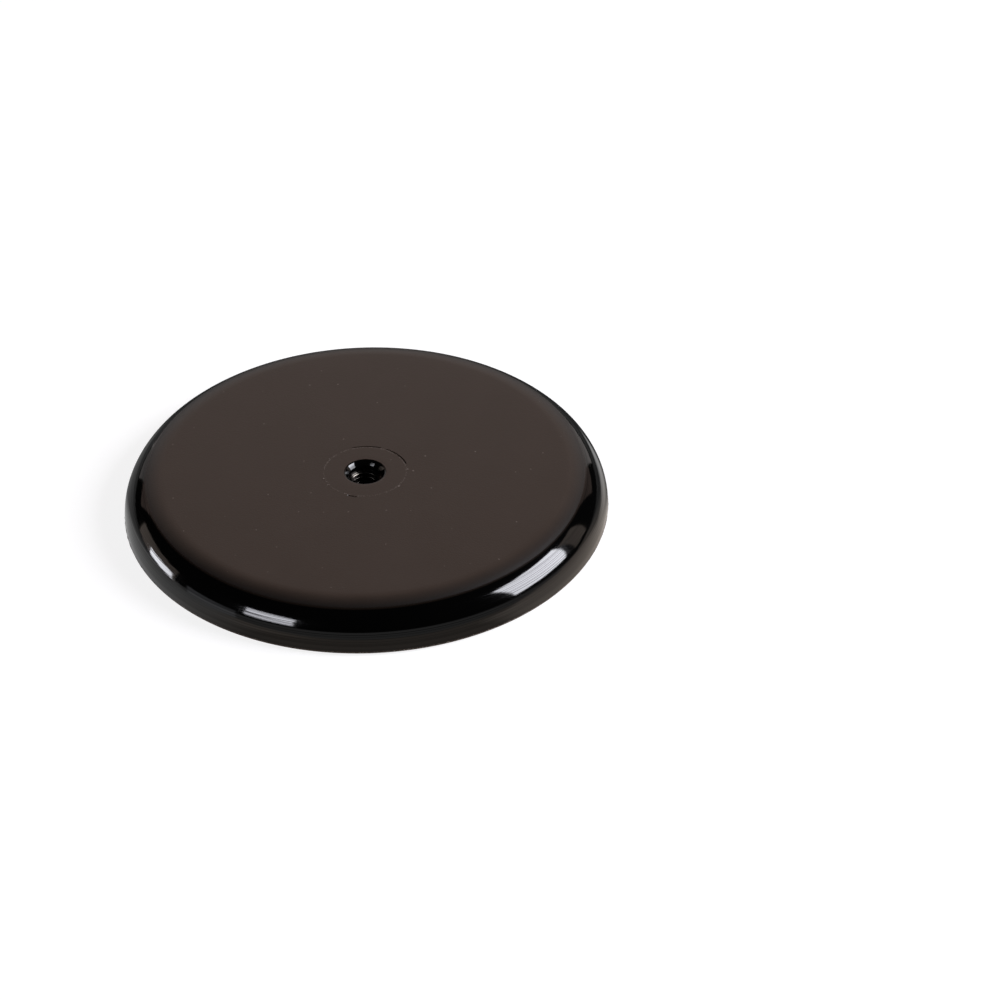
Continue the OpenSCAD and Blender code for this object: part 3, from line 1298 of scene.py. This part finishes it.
def buildWorld():
    # dark walls, a grey table below the leaning horizon, white to the camera
    w = worldSetup
    world = bpy.data.worlds.new("studio")
    bpy.context.scene.world = world
    world.use_nodes = True
    tree = world.node_tree
    tree.nodes.clear()
    way = addNode(tree, "TexCoord").outputs["Generated"]
    xyz = addNode(tree, "SeparateXYZ", links={0: way})
    tilt = math.radians(w["tableTilt"])
    lift = math.sin(math.radians(w["tableLift"]))
    over = addNode(
        tree, "VectorMath", {"operation": "DOT_PRODUCT"},
        {1: (0, math.sin(tilt), math.cos(tilt))}, {0: way},
    )
    low = addNode(
        tree, "MapRange", smoothStep,
        {1: lift + w["horizonSoft"], 2: lift - w["horizonSoft"]}, {0: over.outputs["Value"]},
    )
    withTable = addNode(tree, "Mix", None, {2: w["room"], 3: w["table"]}, {0: low.outputs[0]})
    below = addNode(
        tree, "MapRange", smoothStep, {1: w["underFrom"], 2: w["underTo"]},
        {0: xyz.outputs["Z"]},
    )
    level = addNode(tree, "Mix", None, {3: w["under"]}, {0: below.outputs[0], 2: withTable.outputs[0]})
    tint = addNode(
        tree, "Mix", asColour,
        {6: (1, 1, 1, 1), 7: linearColour(w["underTint"])}, {0: below.outputs[0]},
    )
    studio = addNode(tree, "Background", links={"Color": tint.outputs[2], "Strength": level.outputs[0]})
    white = addNode(tree, "Background", None, {"Color": (1, 1, 1, 1), "Strength": 1.0})
    path = addNode(tree, "LightPath")
    seen = addNode(
        tree, "Math", {"operation": "MAXIMUM"},
        links={0: path.outputs["Is Camera Ray"], 1: path.outputs["Is Transmission Ray"]},
    )
    both = addNode(
        tree, "MixShader", links={0: seen.outputs[0], 1: studio.outputs[0], 2: white.outputs[0]},
    )
    addNode(tree, "OutputWorld", links={"Surface": both.outputs[0]})


floorSetup = {
    "radius": 0.7,
    "sides": 192,
    "holeR": 40 * mm,
    # levels the floor glows with in reflections only: a dim front, painted shadow near the pad behind and
    # to its left, and painted pools of light where the table is lit
    "front": 0.41,
    "frontTint": "#fff0e3",
    "backNearShadow": 0.05,
    "backFar": 0.12,
    "backFrom": 55 * mm,
    "backTo": 110 * mm,
    "slant": -0.5,
    "slantFrom": -40 * mm,
    "slantTo": 0 * mm,
    # bright patches in the glow: painted pools of light where the table is lit
    "lightPools": [
        # strength, then the ramps that bound it: direction, none at, full at, in mm
        (1.0, [((1, 0, 0), 18, 34), ((0, 1, 0), 8, -7), ((0.25, 1, 0), -56, -28)]),
        (0.66, [((1, 0, 0), -5, -40), ((0, 1, 0), 14, -1)]),
        (0.2, [((1, 0, 0), -36, -46), ((0, 1, 0), 60, 34)]),
        (0.95, [((1, 0, 0), 44, 49), ((1, 0, 0), 62, 51), ((0, 1, 0), 40, 30)]),
    ],
    # the floor under the pad's rim glows warm: a painted light that lights the underside
    "under": 0.66,
    "underTint": "#ffede1",
    "underR": 44 * mm,
    "pale": "#919090",
    "lift": 0.8,
    "whiteFrom": 0.13,
    "whiteTo": 0.5,
}


def makeFloor():
    # a pale disc, open under the pad so that light from below reaches the underside
    f = floorSetup
    freshStart()
    bpy.ops.mesh.primitive_circle_add(vertices=f["sides"], radius=f["radius"], fill_type="NGON")
    floor = bpy.context.object
    floor.name = "studioFloor"
    bpy.ops.object.mode_set(mode="EDIT")
    bpy.ops.mesh.select_all(action="SELECT")
    bpy.ops.mesh.inset(thickness=f["radius"] - f["holeR"])
    bpy.ops.mesh.delete(type="FACE")
    bpy.ops.object.mode_set(mode="OBJECT")
    material, tree = newMaterial("paleFloor")
    place = addNode(tree, "TexCoord").outputs["Object"]
    radius = addNode(tree, "VectorMath", {"operation": "LENGTH"}, links={0: place})
    far = addNode(
        tree, "MapRange", smoothStep,
        {1: f["whiteFrom"], 2: f["whiteTo"]}, {0: radius.outputs["Value"]},
    )
    backGlow = addNode(
        tree, "MapRange", smoothStep,
        {1: f["backFrom"], 2: f["backTo"], 3: f["backNearShadow"], 4: f["backFar"]}, {0: radius.outputs["Value"]},
    )
    behind = addNode(
        tree, "VectorMath", {"operation": "DOT_PRODUCT"}, {1: (f["slant"], 1, 0)}, {0: place},
    )
    behind = addNode(
        tree, "MapRange", smoothStep, {1: f["slantFrom"], 2: f["slantTo"]},
        {0: behind.outputs["Value"]},
    )
    # the glow map, seen only in reflections: painted shadow near the pad and painted pools of light on the
    # floor
    glow = addNode(tree, "Mix", None, {2: f["front"]}, {0: behind.outputs[0], 3: backGlow.outputs[0]})
    for strength, ramps in f["lightPools"]:
        pool = addNode(tree, "Value")
        pool.outputs[0].default_value = strength
        for direction, start, end in ramps:
            along = addNode(
                tree, "VectorMath", {"operation": "DOT_PRODUCT"}, {1: direction}, {0: place},
            )
            ramp = addNode(
                tree, "MapRange", smoothStep, {1: start * mm, 2: end * mm},
                {0: along.outputs["Value"]},
            )
            pool = addNode(
                tree, "Math", {"operation": "MULTIPLY"},
                links={0: pool.outputs[0], 1: ramp.outputs[0]},
            )
        glow = addNode(
            tree, "Math", {"operation": "MAXIMUM"},
            links={0: glow.outputs[0], 1: pool.outputs[0]},
        )
    tint = addNode(
        tree, "Mix", asColour,
        {6: linearColour(f["frontTint"]), 7: (1, 1, 1, 1)}, {0: behind.outputs[0]},
    )
    # under the pad the floor glows warm: a painted light for the underside
    hidden = addNode(
        tree, "Math", {"operation": "LESS_THAN"}, {1: f["underR"]}, {0: radius.outputs["Value"]},
    )
    glow = addNode(tree, "Mix", None, {3: f["under"]}, {0: hidden.outputs[0], 2: glow.outputs[0]})
    tint = addNode(
        tree, "Mix", asColour, {7: linearColour(f["underTint"])},
        {0: hidden.outputs[0], 6: tint.outputs[2]},
    )
    table = addNode(tree, "Emission", links={"Color": tint.outputs[2], "Strength": glow.outputs[0]})
    paint = addNode(tree, "BsdfDiffuse", None, {"Color": linearColour(f["pale"])})
    lift = addNode(tree, "Emission", None, {"Strength": f["lift"]})
    white = addNode(tree, "Emission", None, {"Strength": 1.0})
    near = addNode(tree, "AddShader", links={0: paint.outputs[0], 1: lift.outputs[0]})
    seen = addNode(
        tree, "MixShader", links={0: far.outputs[0], 1: near.outputs[0], 2: white.outputs[0]},
    )
    path = addNode(tree, "LightPath")
    front = addNode(
        tree, "MixShader",
        links={0: path.outputs["Is Camera Ray"], 1: table.outputs[0], 2: seen.outputs[0]},
    )
    clear = addNode(tree, "BsdfTransparent")
    geometry = addNode(tree, "NewGeometry")
    surface = addNode(
        tree, "MixShader",
        links={0: geometry.outputs["Backfacing"], 1: front.outputs[0], 2: clear.outputs[0]},
    )
    addNode(tree, "OutputMaterial", links={"Surface": surface.outputs[0]})
    floor.data.materials.append(material)


addLamps()
addBackCards()
buildWorld()
makeFloor()
bpy.context.scene.view_settings.view_transform = "Standard"
print("studio lit")

freshStart()
